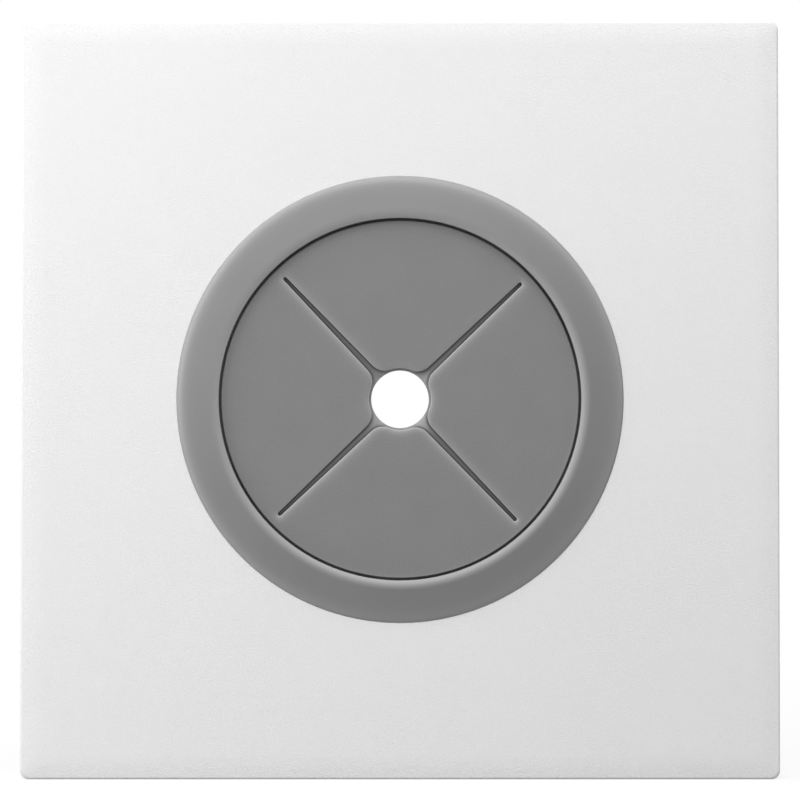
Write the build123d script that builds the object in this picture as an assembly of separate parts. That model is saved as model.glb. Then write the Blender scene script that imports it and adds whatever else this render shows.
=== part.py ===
from build123d import *
import math
import os

# Cable outlet wall plate for a square flush box, modelled as it hangs on a wall.
# +X is to the right, +Z is up, the room is towards -Y and the wall plane is Y = 0.
# Each piece is drawn lying on its back, with Z as the height off the wall, and is stood up at the end.
# All sizes are in millimetres and all angles in degrees.

# Front plate: a moulded square shell with a round opening, whose face falls away softly to a rounded edge
plate_side = 86.0
plate_depth = 8.0
plate_corner_radius = 1.0
edge_width = 2.6
edge_tilt = 8.0
edge_rounding = 0.3
edge_sections = 4
face_wall = 2.0
skirt_wall = 1.8
cavity_corner_radius = 0.8
cavity_fillet = 0.5
sleeve_wall = 1.35
sleeve_depth = 2.0
pry_notch_width = 8.0
pry_notch_height = 1.0

# Snap arms that hang from the front plate and catch the frame at its top and bottom edges
arm_width = 8.0
arm_wall = 1.0
arm_spacing = 44.0
arm_flex_gap = 1.1
arm_gap = 0.1
arm_hook_reach = 0.5
arm_hook_length = 1.1
arm_tip_chamfer = 0.3

# Ribs inside the front plate
rib_wall = 1.2
rib_gap = 0.3
locating_rib_spacing = 44.0
locating_gap = 0.2

# Mounting frame: a shallow tray that is screwed to the box
frame_floor = 2.0
frame_wall = 1.4
frame_wall_height = 4.4
frame_corner_radius = 2.5
frame_opening_radius = 23.0
frame_opening_chamfer = 0.6
frame_rib_height = 1.8
lintel_height = 1.2
notch_gap = 0.5
notch_inset = 2.1
hook_gap = 0.1

# Box screws: two slots at the spacing of the box's lugs, with room for the heads
screw_pitch = 60.3
slot_width = 4.5
slot_length = 8.0
pad_wall = 2.0
pad_height = 1.0
screw_head_radius = 4.6

# Outlet ring: a sloping bezel on the face, with a collar that snaps through the opening
ring_radius = 25.35
ring_width = 4.83
rim_overlap = 1.45
rim_width = 0.9
rim_height = 0.4
crown_angle = 13.0
lip_width = 0.92
lip_drop = 0.2
collar_wall = 1.0
collar_gap = 0.15
ring_arm_count = 4
ring_arm_turn = 45.0
ring_arm_span = 20.0
ring_arm_slot = 2.4
ring_arm_root = 0.9
ring_hook_reach = 0.65
ring_hook_length = 1.25
bead_reach = 0.5
bead_height = 0.9
bead_gap = 0.1
key_width = 2.0
key_reach = 0.7
key_length = 3.5
key_gap = 0.2

# Petal membrane: one soft moulding, four petals raised from a thin web with a round hole
petal_count = 4
petal_turn = -1.3
petal_rise = 0.2
petal_chamfer = 0.06
disc_gap = 0.28
groove_depth = 1.0
slit_depth = 0.85
slit_reach = 19.05
slit_root_width = 0.92
slit_tip_width = 0.45
slit_flare = 1.8
pocket_radius = 3.52
hole_radius = 3.27
web_wall = 0.6
flange_wall = 1.05
flange_width = 3.6
seat_gap = 0.2

# Heights off the wall that several pieces share
face_back = plate_depth - face_wall
sleeve_end = face_back - sleeve_depth
petal_front = plate_depth + petal_rise
web_front = petal_front - slit_depth
web_back = web_front - web_wall
lip_underside = petal_front - groove_depth
flange_back = lip_underside - flange_wall
lintel_bottom = frame_wall_height - lintel_height
arm_catch = lintel_bottom - hook_gap
arm_end = arm_catch - arm_hook_length
ring_catch = sleeve_end - hook_gap
collar_end = ring_catch - ring_hook_length

# Sizes that follow from a fit with another piece
cavity_side = plate_side - 2 * skirt_wall
collar_radius = ring_radius - rim_overlap
lip_radius = ring_radius - ring_width
opening_radius = collar_radius + collar_gap
sleeve_radius = opening_radius + sleeve_wall
frame_side = cavity_side - 2 * (arm_flex_gap + arm_wall + arm_gap)
collar_bore = collar_radius - collar_wall
flange_radius = collar_bore - seat_gap
disc_radius = lip_radius - disc_gap
rib_circle = sleeve_radius + rib_gap
cover_rib_bottom = frame_wall_height + rib_gap


def square(side, corner_radius, height):
    """A rounded square, face up at a height off the wall."""
    return Pos(0, 0, height) * RectangleRounded(side, side, corner_radius)


def drum(radius, bottom, top):
    """A round bar on the plate's axis between two heights."""
    return extrude(Pos(0, 0, bottom) * Circle(radius), top - bottom)


def tube(inner_radius, outer_radius, bottom, top):
    """A round wall on the plate's axis between two heights."""
    return extrude(Pos(0, 0, bottom) * (Circle(outer_radius) - Circle(inner_radius)), top - bottom)


def block(low, high):
    """A box between two corners."""
    size = [high[i] - low[i] for i in range(3)]
    middle = [(high[i] + low[i]) / 2 for i in range(3)]
    return Pos(*middle) * Box(*size)


def turned(outline):
    """A piece turned about the plate's axis from an outline of (radius, height) points or a sketch."""
    sketch = outline if isinstance(outline, Sketch) else make_face(Polyline(*outline, close=True))
    return revolve(Plane.XZ * sketch, Axis.Z)


def around(piece, count, start):
    """Copies of a piece spaced evenly about the plate's axis."""
    return [Rot(0, 0, start + 360 / count * step) * piece for step in range(count)]


def edge_arc(radius, inset, height, start, end):
    """A band of the plate's rolled edge, lofted round an arc whose centre lies inside the edge."""
    sections = []
    for step in range(edge_sections):
        turn = math.radians(start + (end - start) * step / (edge_sections - 1))
        side = plate_side - 2 * (inset - radius * math.sin(turn))
        sections.append(square(side, plate_corner_radius, height + radius * math.cos(turn)))
    return loft(sections)


def rounded_shell_block():
    """The plate's outer block: straight sides, a small rounding, and a soft slope up to the face."""
    tilt = math.radians(edge_tilt)
    slope_radius = (edge_width - edge_rounding * (1 - math.sin(tilt))) / math.sin(tilt)
    slope_centre = plate_depth - slope_radius
    shoulder = slope_centre + (slope_radius - edge_rounding) * math.cos(tilt)
    sides = extrude(square(plate_side, plate_corner_radius, 0), shoulder)
    rounding = edge_arc(edge_rounding, edge_rounding, shoulder, 90, edge_tilt)
    slope = edge_arc(slope_radius, edge_width, slope_centre, edge_tilt, 0)
    return sides + rounding + slope


def cavity():
    """The hollow behind the face, with a small fillet where the skirt meets it."""
    hollow = extrude(square(cavity_side, cavity_corner_radius, 0), face_back)
    return fillet(hollow.faces().sort_by(Axis.Z)[-1].edges(), cavity_fillet)


def screw_heads(bottom):
    """Room for the heads of the two box screws, from a height up to the face."""
    head = drum(screw_head_radius, bottom, face_back)
    return [Pos(side * screw_pitch / 2, 0, 0) * head for side in (-1, 1)]


def diagonal_ribs(bottom, top, reach):
    """Four ribs on the diagonals, from the ring of ribs round the opening to the corners."""
    rib = block((rib_circle, -rib_wall / 2, bottom), (reach, rib_wall / 2, top))
    return around(rib, 4, 45)


def snap_arm():
    """One snap arm of the front plate, at the middle of the top edge, with its hook turned to the axis."""
    inner = frame_side / 2 + arm_gap
    outer = inner + arm_wall
    tip = inner - arm_hook_reach
    outline = Polyline(
        (inner, face_back),
        (inner, arm_catch),
        (tip, arm_catch - arm_tip_chamfer),
        (tip, arm_catch - 2 * arm_tip_chamfer),
        (inner, arm_end),
        (outer, arm_end),
        (outer, face_back),
        close=True,
    )
    return extrude(Plane.YZ * make_face(outline), arm_width / 2, both=True)


def front_plate():
    """The white cover: shell, opening with its sleeve, snap arms, ribs and the notch for a screwdriver."""
    shell = rounded_shell_block() - cavity()
    ribs = diagonal_ribs(cover_rib_bottom, face_back, cavity_side / math.sqrt(2) - cavity_corner_radius)
    ribs.append(tube(opening_radius, sleeve_radius, sleeve_end, face_back))
    shell += ribs
    for turn in (0, 180):
        for shift in (-1, 1):
            shell += Rot(0, 0, turn) * Pos(shift * arm_spacing / 2, 0, 0) * snap_arm()
    for side in (-1, 1):
        for shift in (-1, 1):
            near = frame_side / 2 + locating_gap
            middle = shift * locating_rib_spacing / 2
            rib = block(
                (near, middle - rib_wall / 2, pry_notch_height),
                (cavity_side / 2 + skirt_wall / 2, middle + rib_wall / 2, face_back),
            )
            shell += Rot(0, 0, 0 if side > 0 else 180) * rib
    shell -= drum(opening_radius, sleeve_end, plate_depth)
    slot_half = key_width / 2 + key_gap
    key_slot = block(
        (0, -slot_half, sleeve_end),
        (collar_radius + key_reach + key_gap, slot_half, plate_depth),
    )
    shell -= around(key_slot, 2, 90)
    shell -= screw_heads(sleeve_end)
    shell -= block(
        (-pry_notch_width / 2, -plate_side / 2, 0),
        (pry_notch_width / 2, -cavity_side / 2, pry_notch_height),
    )
    return shell


def mounting_frame():
    """The tray that the box screws hold: floor, edge wall, ribs, screw pads, slots and the snap notches."""
    tray = extrude(square(frame_side, frame_corner_radius, 0), frame_wall_height)
    inside = frame_side - 2 * frame_wall
    hollow_radius = frame_corner_radius - frame_wall
    tray -= extrude(square(inside, hollow_radius, frame_floor), frame_wall_height - frame_floor)
    rib_top = frame_floor + frame_rib_height
    tray += tube(rib_circle, rib_circle + rib_wall, frame_floor, rib_top)
    tray += diagonal_ribs(frame_floor, rib_top, inside / math.sqrt(2) - hollow_radius)
    tray -= screw_heads(frame_floor)
    for side in (-1, 1):
        at = Pos(side * screw_pitch / 2, 0, 0)
        pad = SlotOverall(slot_length + 2 * pad_wall, slot_width + 2 * pad_wall)
        tray += at * extrude(Pos(0, 0, frame_floor) * pad, pad_height)
        tray -= at * extrude(SlotOverall(slot_length, slot_width), frame_floor + pad_height)
    tray -= drum(frame_opening_radius, 0, frame_wall_height)
    tray -= turned(
        [
            (0, 0),
            (frame_opening_radius + frame_opening_chamfer, 0),
            (frame_opening_radius, frame_opening_chamfer),
            (0, frame_opening_chamfer),
        ]
    )
    half = arm_width / 2 + notch_gap
    edge = frame_side / 2
    notch = block((-half, edge - frame_wall - notch_inset, 0), (half, edge, lintel_bottom))
    for turn in (0, 180):
        for shift in (-1, 1):
            tray -= Rot(0, 0, turn) * Pos(shift * arm_spacing / 2, 0, 0) * notch
    return tray


def ring_outline():
    """Half section of the ring: a sloping crown, rounded at rim and lip, and the collar with its bead."""
    slope = math.tan(math.radians(crown_angle))
    crown_outer = (ring_radius - rim_width, plate_depth + rim_height)
    crown_rise = (ring_width - rim_width - lip_width) * slope
    crown_inner = (lip_radius + lip_width, crown_outer[1] + crown_rise)
    lip_edge = (lip_radius, crown_inner[1] - lip_drop)
    rim_foot = (ring_radius, plate_depth)
    bead_top = flange_back - bead_gap
    back = Polyline(
        rim_foot,
        (collar_radius, plate_depth),
        (collar_radius, collar_end),
        (collar_bore, collar_end),
        (collar_bore, bead_top - bead_height),
        (collar_bore - bead_reach, bead_top - bead_height / 2),
        (collar_bore, bead_top),
        (collar_bore, lip_underside),
        (lip_radius, lip_underside),
        lip_edge,
    )
    lip = TangentArc(crown_inner, lip_edge, tangent=(-1, slope))
    rim = TangentArc(crown_outer, rim_foot, tangent=(1, -slope))
    return make_face(back + lip + Line(crown_inner, crown_outer) + rim)


def outlet_ring():
    """The grey bezel ring: crown and collar turned in one, four snap hooks and two keys."""
    ring = turned(ring_outline())
    hook = make_face(
        Polyline(
            (collar_radius - collar_wall / 2, ring_catch),
            (collar_radius + ring_hook_reach, ring_catch),
            (collar_radius + ring_hook_reach, ring_catch - ring_hook_length / 3),
            (collar_radius, collar_end),
            (collar_radius - collar_wall / 2, collar_end),
            close=True,
        )
    )
    hook = Rot(0, 0, -ring_arm_span / 2) * revolve(Plane.XZ * hook, Axis.Z, ring_arm_span)
    ring += around(hook, ring_arm_count, ring_arm_turn)
    slot_angle = ring_arm_span / 2 + math.degrees(ring_arm_slot / 2 / collar_radius)
    slot = block(
        (collar_bore - bead_reach, -ring_arm_slot / 2, collar_end),
        (collar_radius + collar_gap, ring_arm_slot / 2, lip_underside - ring_arm_root),
    )
    for side in (-1, 1):
        ring -= around(slot, ring_arm_count, ring_arm_turn + side * slot_angle)
    key = block(
        (collar_bore + collar_wall / 2, -key_width / 2, plate_depth - key_length),
        (collar_radius + key_reach, key_width / 2, plate_depth),
    )
    return ring + around(key, 2, 90)


def slit():
    """One tapered slit along +X, narrowest at its round outer end."""
    tip = slit_tip_width / 2
    end = slit_reach - tip
    root = slit_root_width / 2
    outline = make_face(
        Polyline((0, -root), (end, -tip), (end, tip), (0, root), close=True)
    )
    return outline + Pos(end, 0) * Circle(tip)


def petal_gap():
    """The sunk star between the petals: a round pocket, and the slits flaring into it."""
    star = Sketch() + Circle(pocket_radius) + around(slit(), petal_count, 180 / petal_count)
    corners = [v for v in star.vertices() if abs(v.center().length - pocket_radius) < 1e-3]
    return fillet(corners, slit_flare)


def petal_membrane():
    """The soft grey disc: web with its hole, petals with broken edges, and the flange behind the lip."""
    inner = flange_radius - flange_width
    disc = turned(
        [
            (hole_radius, web_back),
            (inner, web_back),
            (inner, flange_back),
            (flange_radius, flange_back),
            (flange_radius, lip_underside),
            (disc_radius, lip_underside),
            (disc_radius, petal_front),
            (hole_radius, petal_front),
        ]
    )
    disc -= extrude(Pos(0, 0, web_front) * petal_gap(), slit_depth)
    disc = chamfer(disc.faces().sort_by(Axis.Z)[-1].edges(), petal_chamfer)
    return Rot(0, 0, petal_turn) * disc


os.makedirs("parts", exist_ok=True)
pieces = {
    "front_plate": front_plate(),
    "mounting_frame": mounting_frame(),
    "outlet_ring": outlet_ring(),
    "petal_membrane": petal_membrane(),
}
for name, piece in pieces.items():
    export_step(Rot(90, 0, 0) * piece, f"parts/{name}.step")
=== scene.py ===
import math

import bpy
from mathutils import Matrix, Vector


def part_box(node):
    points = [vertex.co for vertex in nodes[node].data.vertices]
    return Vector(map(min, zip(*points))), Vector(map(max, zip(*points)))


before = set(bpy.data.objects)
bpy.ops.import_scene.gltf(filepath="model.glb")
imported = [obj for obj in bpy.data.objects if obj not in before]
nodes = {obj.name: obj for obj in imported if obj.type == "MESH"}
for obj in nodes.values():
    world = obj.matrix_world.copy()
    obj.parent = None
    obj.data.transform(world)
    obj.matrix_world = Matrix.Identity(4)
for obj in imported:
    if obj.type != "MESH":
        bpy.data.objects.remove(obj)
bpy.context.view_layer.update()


# Front plate: the square cover, moulded in one shot from white polycarbonate. The outside has the fine
# sand grain of a spark-eroded tool, and the hollow behind the face the plain finish of the core. It snaps
# onto the frame.
class Shade:
    """A socket of a node tree, so that shader maths can be written as arithmetic."""

    def __init__(self, tree, socket=None):
        self.tree = tree
        self.socket = socket

    def node(self, kind, settings=None, inputs=None, output=0):
        """Adds a node: its settings, then the values or links of its sockets. Gives one of its outputs."""
        made = self.tree.nodes.new(kind)
        for name, value in (settings or {}).items():
            setattr(made, name, value)
        for name, value in (inputs or {}).items():
            if isinstance(value, Shade):
                self.tree.links.new(value.socket, made.inputs[name])
            else:
                made.inputs[name].default_value = value
        return Shade(self.tree, made.outputs[output] if made.outputs else None)

    def math(self, operation, *values):
        return self.node("ShaderNodeMath", {"operation": operation}, dict(enumerate(values)))

    def __add__(self, other):
        return self.math("ADD", self, other)

    def __sub__(self, other):
        return self.math("SUBTRACT", self, other)

    def __rsub__(self, other):
        return self.math("SUBTRACT", other, self)

    def __mul__(self, other):
        return self.math("MULTIPLY", self, other)

    def __truediv__(self, other):
        return self.math("DIVIDE", self, other)

    def __rtruediv__(self, other):
        return self.math("DIVIDE", other, self)

    def __abs__(self):
        return self.math("ABSOLUTE", self)

    def __gt__(self, other):
        return self.math("GREATER_THAN", self, other)

    def __lt__(self, other):
        return self.math("LESS_THAN", self, other)

    def __or__(self, other):
        return self.math("MAXIMUM", self, other)

    __radd__ = __add__
    __rmul__ = __mul__
    __ror__ = __or__


def new_finish(name):
    """An empty material and the tree that its finish is drawn in."""
    material = bpy.data.materials.new(name)
    material.use_nodes = True
    material.node_tree.nodes.clear()
    return material, Shade(material.node_tree)


def close_finish(shade, surface):
    """Ends a finish with the surface that it shows."""
    shade.node("ShaderNodeOutputMaterial", inputs={"Surface": surface})


def moulded_skin(shade, colour, roughness, normal):
    """Ends the finish of a moulded piece."""
    inputs = {"Base Color": colour, "Roughness": roughness, "Normal": normal}
    close_finish(shade, shade.node("ShaderNodeBsdfPrincipled", inputs=inputs))


def dress(node, material):
    """Gives a CAD piece its finish."""
    nodes[node].data.materials.clear()
    nodes[node].data.materials.append(material)


def place_of(shade):
    """Where a point lies on the object, in metres."""
    return shade.node("ShaderNodeTexCoord", output="Object")


def parts_of(shade, spot):
    """How far a place lies to the right, towards the wall and up."""
    return [shade.node("ShaderNodeSeparateXYZ", inputs={0: spot}, output=axis) for axis in "XYZ"]


def noise(shade, spot, size, detail=2.0, roughness=0.5):
    """Soft random spots about as wide as size, in metres, from 0 to 1."""
    settings = {"noise_dimensions": "3D"}
    inputs = {"Vector": spot, "Scale": 1 / size, "Detail": detail, "Roughness": roughness}
    return shade.node("ShaderNodeTexNoise", settings, inputs, output="Fac")


def tint(shade, share, dark, light):
    """A colour between two others, each three numbers or a colour made before."""
    first, second = (colour if isinstance(colour, Shade) else (*colour, 1) for colour in (dark, light))
    return shade.node("ShaderNodeMix", {"data_type": "RGBA"}, {0: share, 6: first, 7: second}, output=2)


def relief(shade, height, depth, strength, under=None):
    """Surface direction of a shallow relief, laid over another direction where one is given."""
    inputs = {"Strength": strength, "Distance": depth, "Height": height}
    if under is not None:
        inputs["Normal"] = under
    return shade.node("ShaderNodeBump", inputs=inputs)


plate_low, plate_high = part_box("front_plate")
plate_half = plate_high.x
skirt_wall = 0.0018
face_wall = 0.0020
grain_size = 0.00016
grain_depth = 0.00010
grain_strength = 0.5
grain_share = 0.9
plate_cloud_size = 0.0060
pit_white = (0.700, 0.700, 0.702)
peak_white = (0.900, 0.900, 0.901)
core_roughness = 0.40
grain_roughness = 0.15
plate_white, shade = new_finish("white_sand_grain")
spot = place_of(shade)
across, out, up = parts_of(shade, spot)
skirt = (abs(across) | abs(up)) > plate_half - skirt_wall / 2
face = out < plate_low.y + face_wall / 2
outside = skirt | face
grain = noise(shade, spot, grain_size, roughness=0.6)
cloud = noise(shade, spot, plate_cloud_size)
moulded_skin(
    shade,
    tint(shade, grain * grain_share + cloud * (1 - grain_share), pit_white, peak_white),
    core_roughness + outside * grain_roughness,
    relief(shade, grain, grain_depth, outside * grain_strength),
)
dress("front_plate", plate_white)


# Mounting frame: the shallow tray behind the cover, moulded from the same white polycarbonate with a plainer,
# slightly glossier skin. Two screws through its slots hold it to the box in the wall.
frame_cloud_size = 0.0080
flow_size = 0.0007
flow_depth = 0.00002
flow_strength = 0.15
frame_dull_white = (0.74, 0.74, 0.735)
frame_clear_white = (0.80, 0.80, 0.795)
frame_roughness = 0.34
frame_roughness_spread = 0.14
frame_white, shade = new_finish("white_plain_moulding")
spot = place_of(shade)
cloud = noise(shade, spot, frame_cloud_size, detail=3.0)
flow = noise(shade, spot, flow_size)
moulded_skin(
    shade,
    tint(shade, cloud, frame_dull_white, frame_clear_white),
    frame_roughness + cloud * frame_roughness_spread,
    relief(shade, flow, flow_depth, flow_strength),
)
dress("mounting_frame", frame_white)


# Outlet ring: the bezel round the opening, moulded in grey plastic with a smooth satin skin. Its collar
# passes through the cover and four hooks snap behind the sleeve of the opening.
def away_from_axis(shade, across, up):
    """How far a point lies from an axis, in metres, from its two distances at right angles."""
    return shade.math("SQRT", across * across + up * up)


def edge_glow(shade, distance, width):
    """1 at an edge, fading away from it: for an edge that rolls over softly, and for a highlight painted
    along it.
    """
    return shade.math("EXPONENT", (distance | 0.0) * (-1 / width))


def ramp(shade, value, start, end):
    """0 at one value, 1 at the other, and a smooth rise between them."""
    inputs = {"Value": value, "From Min": start, "From Max": end}
    return shade.node("ShaderNodeMapRange", {"interpolation_type": "SMOOTHSTEP"}, inputs)


def turned_normal(shade, across, up, away, lean):
    """Surface direction of a piece turned about the opening's axis, from its lean away from that axis."""
    sideways = shade.math("SINE", lean) / away
    parts = {"X": across * sideways, "Y": shade.math("COSINE", lean) * -1, "Z": up * sideways}
    inputs = {"Vector": shade.node("ShaderNodeCombineXYZ", inputs=parts)}
    settings = {"vector_type": "NORMAL", "convert_from": "OBJECT", "convert_to": "WORLD"}
    return shade.node("ShaderNodeVectorTransform", settings, inputs)


ring_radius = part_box("outlet_ring")[1].x
lip_radius = 0.02052
crown_lean = math.radians(13)
lip_lean = math.radians(50)
lip_roll_start = 0.02174
lip_roll_end = 0.02038
lip_highlight_share = 0.68
rim_lean = math.radians(78)
rim_roll_width = 0.00032
rim_highlight_width = 0.00050
ring_cloud_size = 0.0050
ring_cloud_share = 0.6
ring_skin_size = 0.00016
ring_skin_depth = 0.00003
ring_skin_strength = 0.06
ring_dark_grey = (0.188, 0.188, 0.189)
ring_light_grey = (0.216, 0.216, 0.217)
# Pale grey that the painted highlights on the ring and the membrane blend towards.
painted_highlight_grey = (0.42, 0.42, 0.42)
ring_roughness = 0.46
ring_roughness_spread = 0.08
ring_grey, shade = new_finish("grey_satin_plastic")
spot = place_of(shade)
across, out, up = parts_of(shade, spot)
cloud = noise(shade, spot, ring_cloud_size)
skin = noise(shade, spot, ring_skin_size)
away = away_from_axis(shade, across, up)

# The crown leans away from the axis, rolls over at the rim and turns in at the lip.
crown = (out < plate_low.y) * (away > lip_radius)
lip_roll = ramp(shade, away, lip_roll_start, lip_roll_end)
rim_roll = edge_glow(shade, ring_radius - away, rim_roll_width)
lean = crown_lean + rim_roll * rim_lean - lip_roll * lip_lean
moulded = shade.node("ShaderNodeNewGeometry", output="Normal")
rounded = turned_normal(shade, across, up, away, lean)
facing = shade.node("ShaderNodeMix", {"data_type": "VECTOR"}, {0: crown, 4: moulded, 5: rounded}, output=1)
ring_speckle = cloud * ring_cloud_share + skin * (1 - ring_cloud_share)
grey = tint(shade, ring_speckle, ring_dark_grey, ring_light_grey)
# Painted highlight: the lip and the rim are painted paler towards their edges, standing in for the light they
# catch.
pale = lip_roll * lip_highlight_share | edge_glow(shade, ring_radius - away, rim_highlight_width)
moulded_skin(
    shade,
    tint(shade, pale * crown, grey, painted_highlight_grey),
    ring_roughness + cloud * ring_roughness_spread,
    relief(shade, skin, ring_skin_depth, ring_skin_strength, facing),
)
dress("outlet_ring", ring_grey)


# Petal membrane: the soft disc in the ring, moulded from grey thermoplastic rubber with a dry matt skin.
# The ring's lip and bead trap its flange, and the thin web under the slits tears open for a thick cable.
membrane_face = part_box("petal_membrane")[0].y
membrane_turn = math.radians(-1.3)
slit_turn = math.radians(45) + membrane_turn
slit_reach = 0.01905
slit_tip_half = 0.000225
slit_root_half = 0.00046
slit_end = slit_reach - slit_tip_half
slit_taper = (slit_root_half - slit_tip_half) / slit_end
slit_depth = 0.00085
slit_shadow = 0.0005
slit_flare = 0.0018
pocket_radius = 0.00352
flare_reach = pocket_radius + slit_flare
flare_beside = slit_flare + slit_root_half - slit_taper * flare_reach
flare_along = math.sqrt(flare_reach**2 - flare_beside**2)
edge_break = 0.00006
petal_roll_width = 0.00032
petal_roll_drop = 0.00016
petal_highlight_share = 0.55
petal_line_width = 0.00012
petal_line_highlight_share = 0.78
disc_radius = 0.02024
disc_rim_width = 0.0002
disc_rim_highlight_share = 0.35
hole_radius = 0.00327
hole_roll_width = 0.0003
membrane_cloud_size = 0.0035
membrane_cloud_share = 0.3
membrane_skin_size = 0.00020
membrane_skin_depth = 0.00003
membrane_skin_strength = 0.25
membrane_dark_grey = (0.158, 0.158, 0.159)
membrane_light_grey = (0.240, 0.240, 0.241)
# Web greys: painted shade by the slit walls, painted light in the slits' middles and round the hole.
web_painted_shade_grey = (0.10, 0.10, 0.10)
web_painted_light_grey = (0.36, 0.36, 0.36)
membrane_roughness = 0.56
membrane_roughness_spread = 0.10
membrane_grey, shade = new_finish("grey_soft_rubber")
spot = place_of(shade)
across, out, up = parts_of(shade, spot)
cloud = noise(shade, spot, membrane_cloud_size, detail=3.0)
skin = noise(shade, spot, membrane_skin_size)

# How far a point lies along and beside the nearest slit, and from there how far inside the edge of a petal.
# Where a slit flares into the pocket, that edge is an arc about a centre on the petal.
along_one = abs(across * math.cos(slit_turn) + up * math.sin(slit_turn))
along_other = abs(up * math.cos(slit_turn) - across * math.sin(slit_turn))
along = along_one | along_other
beside = shade.math("MINIMUM", along_one, along_other)
from_slit = away_from_axis(shade, beside, (along - slit_end) | 0.0) - (slit_root_half - along * slit_taper)
away = away_from_axis(shade, across, up)
from_straight = shade.math("MINIMUM", from_slit, away - pocket_radius)
from_flare = slit_flare - away_from_axis(shade, along - flare_along, beside - flare_beside)
at_flare = (along < flare_along) * (beside < along * (flare_beside / flare_along))
from_edge = from_straight + at_flare * (from_flare - from_straight) - edge_break

# The web is sunk below the petals. Their edges and the hole's roll over softly. The petal edges carry a
# painted highlight, and the web carries painted shade by the slit walls and painted light in the slits and
# round the hole.
below_face = out - membrane_face
web_front = (from_edge < 0.0) * (abs(below_face - slit_depth) < slit_depth / 4)
near_face = below_face < slit_depth / 2
chamfer_highlight = (from_edge < 0.0) * near_face
petal_roll = edge_glow(shade, from_edge, petal_roll_width) * near_face
petal_line = edge_glow(shade, from_edge, petal_line_width) * near_face
hole_roll = edge_glow(shade, away - hole_radius, hole_roll_width) * web_front
rolled = relief(shade, 1 - (petal_roll | hole_roll), petal_roll_drop, 1.0)
membrane_speckle = cloud * membrane_cloud_share + skin * (1 - membrane_cloud_share)
grey = tint(shade, membrane_speckle, membrane_dark_grey, membrane_light_grey)
# Painted shade and light on the web: dark by the slit walls, paler in the slits' middles and round the hole.
web_painted_light = ramp(shade, from_edge, 0.0, -slit_shadow) | hole_roll
web_light_and_shade_grey = tint(shade, web_painted_light, web_painted_shade_grey, web_painted_light_grey)
# Painted highlight along the disc's rim, lightening the shade under the ring's lip.
disc_rim = edge_glow(shade, disc_radius - away, disc_rim_width) * (away < disc_radius)
# Painted highlight: the petal edges, their chamfers and the disc's rim are painted paler, standing in for the
# light along them.
painted_edge_highlight = petal_roll * petal_highlight_share | petal_line * petal_line_highlight_share | disc_rim * disc_rim_highlight_share
highlighted_petal_grey = tint(shade, painted_edge_highlight | chamfer_highlight, grey, painted_highlight_grey)
moulded_skin(
    shade,
    tint(shade, web_front, highlighted_petal_grey, web_light_and_shade_grey),
    membrane_roughness + cloud * membrane_roughness_spread,
    relief(shade, skin, membrane_skin_depth, membrane_skin_strength, rolled),
)
dress("petal_membrane", membrane_grey)


# Studio: a pale floor under the plate's lower edge, a white surround that the lens sees, large soft lamps
# above, to the left and behind, and a long lens square to the face.
scene = bpy.context.scene
scene.view_settings.view_transform = "Standard"


def seen_white(shade):
    """1 where the lens, a gloss or a clear piece looks at the surround, and 0 for its light on the object."""
    ways = ("Is Camera Ray", "Is Glossy Ray", "Is Transmission Ray")
    camera, gloss, clear = (shade.node("ShaderNodeLightPath", output=way) for way in ways)
    return camera | gloss | clear


def mix_surfaces(shade, share, first, second):
    """A surface or a background between two others."""
    return shade.node("ShaderNodeMixShader", inputs={0: share, 1: first, 2: second})


pure_white = (1, 1, 1, 1)
surround_light = 0.457
world = bpy.data.worlds.new("surround")
world.use_nodes = True
world.node_tree.nodes.clear()
scene.world = world
shade = Shade(world.node_tree)
lit = shade.node("ShaderNodeBackground", inputs={"Color": pure_white, "Strength": surround_light})
white = shade.node("ShaderNodeBackground", inputs={"Color": pure_white, "Strength": 1.0})
shade.node(
    "ShaderNodeOutputWorld",
    inputs={"Surface": mix_surfaces(shade, seen_white(shade), lit, white)},
)

floor_half = 3.0
floor_level = plate_low.z
floor_corners = [(-1, -1), (1, -1), (1, 1), (-1, 1)]
floor_mesh = bpy.data.meshes.new("floor")
floor_mesh.from_pydata(
    [(side * floor_half, deep * floor_half, floor_level) for side, deep in floor_corners],
    [],
    [(0, 1, 2, 3)],
)
floor = bpy.data.objects.new("floor", floor_mesh)
scene.collection.objects.link(floor)

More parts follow.
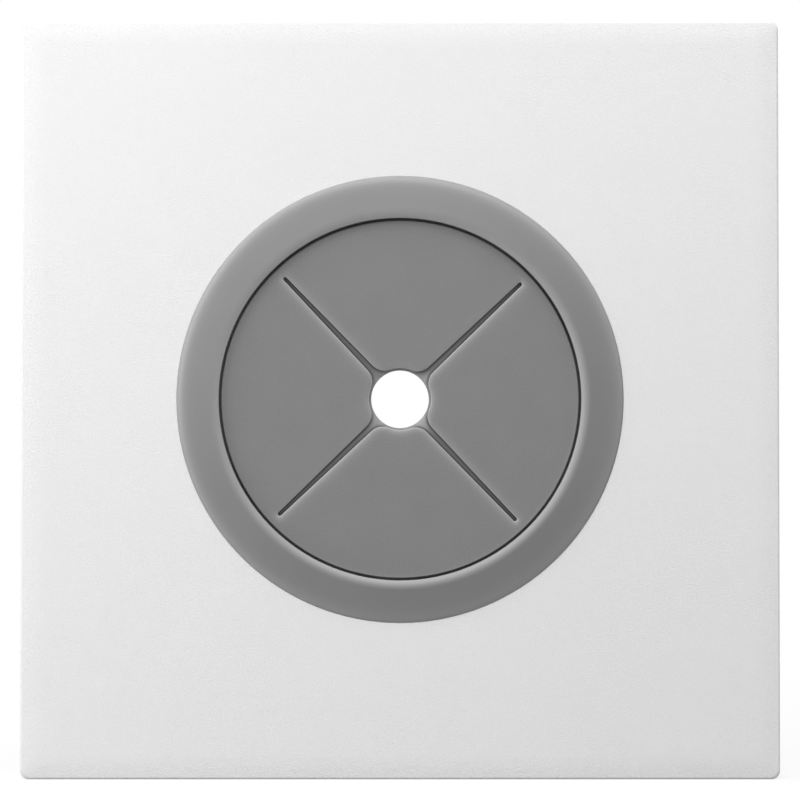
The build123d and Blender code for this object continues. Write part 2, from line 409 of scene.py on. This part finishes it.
# The floor throws little light on the plate. Seen, it glows white but for the soft shadow near the plate.
floor_bounce = (0.40, 0.40, 0.40, 1)
floor_paint = (0.9, 0.9, 0.9, 1)
floor_glow = 0.8
shadow_near = 0.05
shadow_far = 0.30
floor_pale, shade = new_finish("pale_floor")
dull = shade.node("ShaderNodeBsdfDiffuse", inputs={"Color": floor_bounce})
matt = shade.node("ShaderNodeBsdfDiffuse", inputs={"Color": floor_paint})
bright = shade.node("ShaderNodeEmission", inputs={"Color": pure_white, "Strength": 1.0})
across, out, _ = parts_of(shade, place_of(shade))
fade = ramp(shade, away_from_axis(shade, across, out), shadow_near, shadow_far)
pale = mix_surfaces(shade, floor_glow + fade * (1 - floor_glow), matt, bright)
close_finish(shade, mix_surfaces(shade, seen_white(shade), dull, pale))
floor_mesh.materials.append(floor_pale)


def soft_lamp(name, place, aim, width, watts):
    """A square lamp that faces a point."""
    lamp = bpy.data.lights.new(name, "AREA")
    lamp.shape = "SQUARE"
    lamp.size = width
    lamp.energy = watts
    holder = bpy.data.objects.new(name, lamp)
    scene.collection.objects.link(holder)
    holder.location = place
    direction = aim - holder.location
    holder.rotation_euler = direction.to_track_quat("-Z", "Y").to_euler()


middle = (plate_low + plate_high) / 2
soft_lamp("top_lamp", place=(0.045, -0.165, 0.250), aim=middle, width=0.25, watts=0.64)
soft_lamp("left_lamp", place=(-0.205, -0.095, 0.075), aim=middle, width=0.20, watts=0.365)
soft_lamp("back_lamp", place=(-0.080, 0.270, 0.070), aim=middle, width=0.25, watts=0.45)

# The lens: the outline of the plate, at the shoulder of its face, fills its share of the photograph's width.
# It is seen from a touch below the middle.
photo_px = 800
outline_px = 758
lens_mm = 150.0
sensor_mm = 36.0
low_angle = math.radians(1.5)
shoulder_drop = 0.0005
shoulder = plate_low.y + shoulder_drop
frame_width = (plate_high.x - plate_low.x) * photo_px / outline_px
distance = frame_width * lens_mm / sensor_mm
lens = bpy.data.cameras.new("lens")
lens.lens = lens_mm
lens.sensor_width = sensor_mm
lens.shift_y = -0.001
camera = bpy.data.objects.new("camera", lens)
camera.location = (
    middle.x,
    shoulder - distance * math.cos(low_angle),
    middle.z - distance * math.sin(low_angle),
)
camera.rotation_euler = (math.radians(90) + low_angle, 0, 0)
scene.collection.objects.link(camera)
scene.camera = camera
